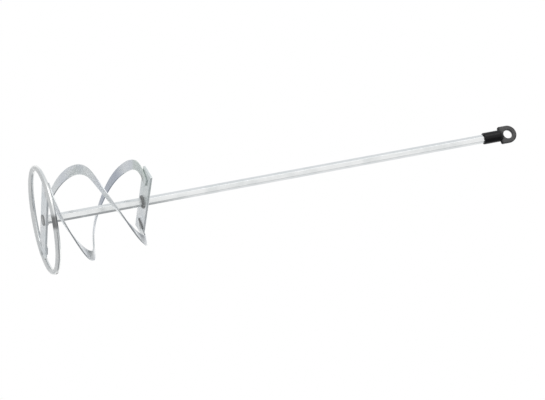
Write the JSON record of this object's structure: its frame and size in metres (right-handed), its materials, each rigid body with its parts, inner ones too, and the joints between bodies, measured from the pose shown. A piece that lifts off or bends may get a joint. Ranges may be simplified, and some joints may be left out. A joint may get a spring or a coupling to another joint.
{
  "type": "mortar mixing paddle",
  "caption": "Hexagon-shaft mixing paddle with two helical blades in a welded basket on a round ring, and a pull-off cap with a hanging eye.",
  "frame": {"origin": "on the axis of the shaft, level with the underside of the ring", "axes": "+Z along the shaft from the ring to the cap; the upper crossbar lies along X, and the lower one is turned 6 degrees from it"},
  "size_m": [0.14, 0.14, 0.648],
  "materials": {
    "shaft_steel": "bright zinc plate on drawn hexagon bar",
    "ring_steel": "bright zinc plate on round bar",
    "flat_bar_steel": "bright zinc plate on flat bar",
    "blade_steel": "bright zinc plate on bent strip",
    "weld_bead": "rippled weld, dulled by heat under the plating",
    "cap_plastic": "soft black moulding, slight sheen"
  },
  "bodies": {
    "paddle": {"hex_shaft": "shaft_steel", "bottom_ring": "ring_steel", "ring_butt_weld": "weld_bead", "lower_crossbar": "flat_bar_steel", "upper_crossbar": "flat_bar_steel", "blade_a": "blade_steel", "blade_b": "blade_steel", "lower_hub_weld_under": "weld_bead", "lower_hub_weld_over": "weld_bead", "upper_hub_weld_under": "weld_bead", "upper_hub_weld_over": "weld_bead", "ring_weld_a": "weld_bead", "ring_weld_b": "weld_bead", "blade_foot_weld_a": "weld_bead", "blade_foot_weld_b": "weld_bead", "blade_head_weld_a": "weld_bead", "blade_head_weld_b": "weld_bead"},
    "cap": {"hanging_cap": "cap_plastic"}
  },
  "joints": [
    {"name": "cap_pull", "type": "slide", "parent": "paddle", "child": "cap", "axis": [0, 0, 1], "range_m": [0, 0.03]}
  ]
}
